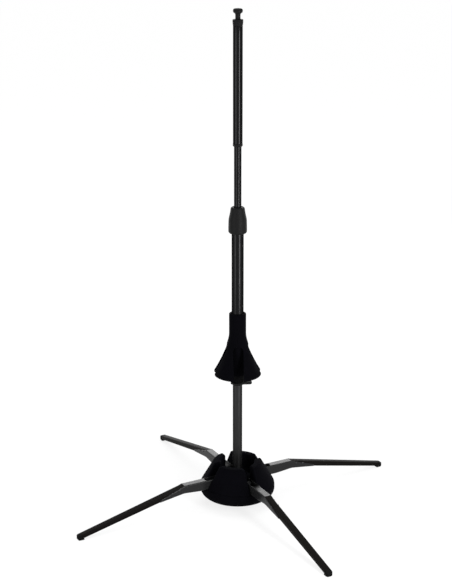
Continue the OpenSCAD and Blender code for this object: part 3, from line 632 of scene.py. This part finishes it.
def powder(tint, light, low, high, worn_to):
    """Sprayed powder coat: an orange peel skin with fine grain, rubbed at the edges."""
    def build(w):
        grain = w.mix(w.span(w.noise(2300, 2, 0.6), 0.4, 0.62, 0, 1), tint, light)
        w.colour(w.mix(w.worn(0.54, 0.64), grain, worn_to))
        w.rough(w.span(w.noise(210, 5, 0.65), 0.3, 0.7, low, high))
        w.bump(w.add(w.noise(900, 2), w.span(w.noise(300, 2), 0, 1, 0, 1.6)), 0.05, 0.02)
    return build


def moulded(tint, light, low, high, grain):
    """Moulded plastic with a spark-eroded grain."""
    def build(w):
        cells = w.cells(grain)
        skin = w.mix(w.span(cells, 0.1, 0.6, 0, 1), light, tint)
        w.colour(w.mix(w.worn(0.55, 0.68), skin, tuple(min(c * 2.4, 1) for c in light)))
        w.rough(w.span(w.noise(300, 4, 0.6), 0.3, 0.7, low, high))
        w.bump(w.add(w.span(cells, 0, 0.8, 0, 1), w.noise(grain * 1.7, 2)), 0.45, 0.09)
    return build


def metal(tint, low, high, stretch):
    """Bare or oxidised metal with lines drawn out along the axis that stretch holds back."""
    def build(w):
        lines = w.noise(420, 4, 0.7, w.stretch(stretch))
        w.colour(w.mix(w.span(lines, 0.3, 0.7, 0, 1), tint, tuple(c * 0.72 for c in tint)))
        w.rough(w.span(w.noise(140, 4, 0.6), 0.3, 0.7, low, high))
        w.bump(lines, 0.15, 0.04)
    return build


MATERIALS = {
    "velvet": material(
        "velvet_flock", velvet,
        Specular_IOR_Level=0.02,
        Sheen_Weight=0.02, Sheen_Roughness=0.4, Sheen_Tint=(0.30, 0.30, 0.40, 1)),
    "tube_paint": material(
        "tube_gloss_black", gloss_paint((0.0095, 0.0095, 0.0098), (0.04, 0.04, 0.04), 0.22, 0.28),
        Metallic=0.85, Specular_IOR_Level=0.05, Specular_Tint=(0.12, 0.12, 0.12, 1)),
    "satin_paint": material(
        "tube_satin_black", gloss_paint((0.022, 0.022, 0.0225), (0.06, 0.06, 0.062), 0.34, 0.42),
        Metallic=0.85, Specular_IOR_Level=0.05, Specular_Tint=(0.3, 0.3, 0.3, 1)),
    "sleeve_skin": material(
        "sleeve_gloss_black", gloss_paint((0.0100, 0.0100, 0.0103), (0.02, 0.02, 0.02), 0.10, 0.14),
        Metallic=0.85, Specular_IOR_Level=0.05, Specular_Tint=(0.12, 0.12, 0.12, 1)),
    "moulded_plastic": material(
        "moulded_matte_black",
        moulded((0.0040, 0.0040, 0.0042), (0.0066, 0.0066, 0.0068), 0.5, 0.66, 1500),
        Specular_IOR_Level=0.08),
    "bracket_paint": material(
        "bracket_satin_grey",
        powder((0.008, 0.008, 0.0083), (0.012, 0.012, 0.0124), 0.22, 0.28, (0.016, 0.016, 0.0166)),
        Specular_IOR_Level=0.16),
    "leg_paint": material(
        "leg_satin_black",
        powder((0.0040, 0.0036, 0.0033), (0.0062, 0.0055, 0.0050), 0.24, 0.30, (0.016, 0.0135, 0.012)),
        Specular_IOR_Level=0.018),
    "nylon": material(
        "black_nylon", moulded((0.0045, 0.0045, 0.0047), (0.0065, 0.0065, 0.0068), 0.5, 0.65, 900),
        Specular_IOR_Level=0.06),
    "bright_steel": material(
        "zinc_steel", metal((0.62, 0.63, 0.64), 0.22, 0.36, (1, 1, 6)), Metallic=1.0),
    "dark_steel": material(
        "black_oxide_steel", metal((0.030, 0.030, 0.032), 0.3, 0.46, (6, 1, 1)), Metallic=0.85),
    "rubber": material(
        "foot_rubber", moulded((0.0040, 0.0040, 0.0040), (0.0065, 0.0065, 0.0065), 0.7, 0.86, 1100),
        Specular_IOR_Level=0.03),
}
# The lock housing gets a darker copy of the moulded plastic: painted shade, standing in for the deep
# shade it sits in within the cone's slots
HOUSING_PAINTED_SHADE = material(
    "housing_painted_shade_black", moulded((0.0008, 0.0008, 0.0009), (0.0016, 0.0016, 0.0017), 0.6, 0.74, 1500),
    Specular_IOR_Level=0.02)

slot_of = {part["node"]: part["material_slot"] for part in frame["record"]["subparts"]}
# The lock housing takes the darker copy, which paints in the shade of the cone's slots
for node, obj in frame["nodes"].items():
    for holder in obj.material_slots:
        holder.material = HOUSING_PAINTED_SHADE if node == "lock_housing" else MATERIALS[slot_of[node]]


def stand_in(obj, node, body):
    """obj is shown instead of a CAD node, in that node's finish."""
    obj.data.materials.clear()
    obj.data.materials.append(MATERIALS[slot_of[node]])
    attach(obj, body)
    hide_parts(node)


# ---------------------------------------------------------------- pieces

def span_mm(node):
    """The heights between which a CAD node lies."""
    low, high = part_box(node)
    return low.z / MM, high.z / MM


def tube(name, node, body, outer, inner, edge=0.4):
    """A tube with rounded ends in place of a CAD node."""
    z0, z1 = span_mm(node)
    outline = [(inner, z0, edge * 0.5), (outer, z0, edge), (outer, z1, edge), (inner, z1, edge * 0.5)]
    stand_in(lathe(name, fillet(outline, 3)), node, body)


stand_in(surface("hub_lobes", hub_top_field, (-60, -60, 37), (60, 60, 78), 0.9), "hub_top", "base")
stand_in(surface("hub_bowl", hub_base_field, (-64, -64, 15.5), (64, 64, 38), 0.9), "hub_base", "base")
stand_in(surface("velvet_cone", cone_field, (-41, -41, 236), (41, 41, 346), 0.8),
         "bell_cone", "middle_section")
stand_in(surface("release_tab", lever_field, (-16, -16, 216), (26, 26, 224), 0.4),
         "lock_lever", "release_lever")

bracket = surface("front_bracket_skin", bracket_field, (24, -7, 35), (153, 7, 57), 0.4)
foot = surface("front_foot_skin", foot_field, (275, -6, -0.5), (301, 6, 16), 0.35)
bar = bar_tube("front_bar_skin")
rivets = rivet_pair("front_rivets_skin")
for side, angle in SIDES.items():
    for first, part in ((bracket, "bracket"), (foot, "foot"), (bar, "bar"), (rivets, "rivets")):
        piece = first if side == "front" else placed(f"{side}_{part}_skin", first.data)
        piece.matrix_world = Matrix.Rotation(math.radians(angle), 4, "Z")
        stand_in(piece, f"{side}_leg_{part}", f"{side}_leg")

tube("lower_pole", "lower_tube", "base", LOWER_D / 2, LOWER_D / 2 - TUBE_WALL)
tube("middle_pole", "mid_tube", "middle_section", MID_D / 2, MID_D / 2 - TUBE_WALL)
tube("upper_pole", "upper_tube", "upper_section", UPPER_D / 2, UPPER_D / 2 - UPPER_WALL)
tube("sleeve_skin", "sleeve", "upper_section", SLEEVE_R, SLEEVE_BORE, 0.3)


def clutch_knob():
    """A waisted grip, hollow round the threaded body and the collet."""
    z0, z1 = span_mm("clutch_knob")
    r, waist = CLUTCH_D / 2, z0 + 0.55 * (z1 - z0)
    foot, body_z, body_top, roof = z0 + GRIP_FOOT, z0 + BODY_Z, z1 - BODY_TOP, z1 - COLLET_ROOF
    outside = [(CLUTCH_BORE, foot, 0.4), (13.4, foot, 1.6), (r, z0 + 3.6, 3.5), (r, z0 + 11, 20),
               (r - 0.35, waist, 30), (r - 1.6, waist + 5.5, 20), (r - 2.9, z1 - 8.5, 20),
               (11.45, z1 - 1.4, 1.6), (10.0, z1, 0.5)]
    inside = [(NECK_BORE, z1, 0.4), (NECK_BORE, roof), (COLLET_R, roof, 0.5),
              (THREAD_BORE, body_top, 0.5), (THREAD_BORE, body_z, 0.3), (CLUTCH_BORE, body_z, 0.3)]
    return lathe("clutch_grip", fillet(outside + inside, 5), 128)


def sleeve_ring():
    """The bead at the foot of the sleeve."""
    z0, z1 = span_mm("sleeve_ring")
    outline = [(SLEEVE_BORE, z0, 0.2), (7.0, z0, 0.5), (RING_R, z0 + 1.3, 0.7), (RING_R, z1, 0.35),
               (SLEEVE_BORE, z1, 0.2)]
    return lathe("sleeve_end_ring", fillet(outline, 4))


def top_collar():
    """A cap over the end of the upper tube, with a plug inside it and a hole for the knob's shank."""
    z0, z1 = span_mm("top_collar")
    hole, r, bore = SHANK_D / 2 + SEAT, COLLAR_D / 2, UPPER_D / 2 + SEAT
    plug = UPPER_D / 2 - UPPER_WALL - SEAT
    foot, roof = z1 - COLLAR_H + LIE, z1 - COLLAR_ROOF + LIE
    outline = [(hole, z1, 0.2), (r, z1, 1.0), (r, z1 - 4.6, 1.6), (7.8, foot, 0.4), (bore, foot, 0.2),
               (bore, roof), (plug, roof), (plug, z0, 0.3), (hole, z0, 0.2)]
    return lathe("collar_cap", fillet(outline, 4))


def top_knob():
    """A flat knob on a waisted neck, with a shank that sits in the collar."""
    z0, z1 = span_mm("top_knob")
    r, neck, shank, foot = KNOB_D / 2, KNOB_NECK_D / 2, SHANK_D / 2, z0 + SHANK_LEN + LIE
    outline = [(0, z1), (3.4, z1, 4), (6.9, z1 - 0.7, 1.6), (r, z1 - 3.4, 1.6), (7.3, z1 - 6.2, 1.4),
               (4.9, z1 - 7.8, 1.6), (neck, z1 - 9.6, 1.2), (neck, foot, 0.3), (shank, foot),
               (shank, z0, 0.4), (0, z0)]
    return lathe("end_knob", fillet(outline, 5))


stand_in(clutch_knob(), "clutch_knob", "clutch")
stand_in(sleeve_ring(), "sleeve_ring", "upper_section")
stand_in(top_collar(), "top_collar", "upper_section")
stand_in(top_knob(), "top_knob", "upper_section")


# ---------------------------------------------------------------- stage, lights and camera

WORLD_LEVEL, BACKDROP_LEVEL = 0.35, 1.0          # what lights things, what camera and gloss see
PAPER, PAPER_SEEN = 0.80, 0.22                   # the floor's tone in diffuse light and when seen
GLOW_NEAR, GLOW_FAR = (0.4, 0.79), (2.5, 0.92)   # metres from the pole, level of the floor's glow
FLOOR_REACH = 30.0


def seen_rays(tree):
    """1 for rays of the camera, gloss and glass, 0 for the others."""
    path = tree.nodes.new("ShaderNodeLightPath")
    seen = path.outputs["Is Camera Ray"]
    for kind in ("Is Glossy Ray", "Is Transmission Ray"):
        seen = maths(tree, "MAXIMUM", seen, path.outputs[kind])
    return seen


def backdrop():
    """Seen as white by the camera and in gloss, and a plain level of light on everything else."""
    world = bpy.data.worlds.new("studio")
    bpy.context.scene.world = world
    world.use_nodes = True
    tree = world.node_tree
    light = tree.nodes["Background"]
    light.inputs["Color"].default_value = (1, 1, 1, 1)
    level = spread(tree, seen_rays(tree), 0, 1, WORLD_LEVEL, BACKDROP_LEVEL)
    tree.links.new(level, light.inputs["Strength"])


def floor():
    """A pale floor that fades into the backdrop and keeps the shadow."""
    mesh = bpy.data.meshes.new("floor")
    corners = [(x * FLOOR_REACH, y * FLOOR_REACH, 0.0) for x, y in ((-1, -1), (1, -1), (1, 1), (-1, 1))]
    mesh.from_pydata(corners, [], [(0, 1, 2, 3)])
    obj = placed("floor", mesh)
    mat = bpy.data.materials.new("floor_paper")
    mat.use_nodes = True
    tree = mat.node_tree
    tree.nodes.remove(tree.nodes["Principled BSDF"])
    seen = seen_rays(tree)
    paper = tree.nodes.new("ShaderNodeBsdfDiffuse")
    tree.links.new(spread(tree, seen, 0, 1, PAPER, PAPER_SEEN), paper.inputs["Color"])
    place, away = tree.nodes.new("ShaderNodeTexCoord"), tree.nodes.new("ShaderNodeVectorMath")
    away.operation = "LENGTH"
    tree.links.new(place.outputs["Object"], away.inputs[0])
    level = spread(tree, away.outputs["Value"], GLOW_NEAR[0], GLOW_FAR[0], GLOW_NEAR[1], GLOW_FAR[1])
    glow = tree.nodes.new("ShaderNodeEmission")
    glow.inputs["Color"].default_value = (1, 1, 1, 1)
    tree.links.new(maths(tree, "MULTIPLY", seen, level), glow.inputs["Strength"])
    both = tree.nodes.new("ShaderNodeAddShader")
    tree.links.new(paper.outputs[0], both.inputs[0])
    tree.links.new(glow.outputs[0], both.inputs[1])
    tree.links.new(both.outputs[0], tree.nodes["Material Output"].inputs["Surface"])
    mesh.materials.append(mat)


def lamp(name, place, target, width, height, power):
    """A rectangular light, aimed at a target."""
    data = bpy.data.lights.new(name, "AREA")
    data.shape, data.size, data.size_y, data.energy = "RECTANGLE", width, height, power
    obj = placed(name, data)
    obj.location = place
    obj.rotation_mode = "QUATERNION"
    obj.rotation_quaternion = (Vector(target) - Vector(place)).to_track_quat("-Z", "Y")


CAMERA = Vector((-1.0395, -1.8876, 1.0786))
HEADING, PITCH, ROLL = math.radians(61.67), math.radians(-17.92), math.radians(-0.1)
SENSOR, LENS = 36, 84.27                     # millimetres
STRIP_Z, STRIP_H = 0.46, 0.92
STRIPS = {                                   # bearing, distance, width, power
    "left_strip": (-46, 1.0, 0.28, 5.4),
    "right_strip": (38, 1.0, 0.18, 12.2),
    "rear_left_strip": (-135, 1.2, 0.3, 3.5),
    "rear_right_strip": (140, 1.2, 0.3, 3.5),
}


def around(offset, distance, height):
    """A place at a bearing from the camera's, seen from the pole."""
    angle = math.atan2(CAMERA.y, CAMERA.x) + math.radians(offset)
    return Vector((distance * math.cos(angle), distance * math.sin(angle), height))


def camera():
    """The photo's point of view."""
    data = bpy.data.cameras.new("camera")
    data.sensor_width, data.lens = SENSOR, LENS
    data.clip_start, data.clip_end = 0.05, 100
    obj = placed("camera", data)
    level = math.cos(PITCH)
    look = Vector((math.cos(HEADING) * level, math.sin(HEADING) * level, math.sin(PITCH)))
    obj.location = CAMERA
    obj.rotation_mode = "QUATERNION"
    obj.rotation_quaternion = look.to_track_quat("-Z", "Y") @ Quaternion((0, 0, 1), ROLL)
    bpy.context.scene.camera = obj


backdrop()
floor()
for name, (bearing, distance, width, power) in STRIPS.items():
    lamp(name, around(bearing, distance, STRIP_Z), (0, 0, STRIP_Z), width, STRIP_H, power)
lamp("overhead", (0.1, 0.1, 2.1), (0, 0, 0), 1.6, 1.6, 15)
lamp("back_panel", around(180, 1.8, 0.88), (0, 0, 0.05), 1.0, 0.42, 6.5)
camera()
bpy.context.scene.view_settings.view_transform = "Standard"
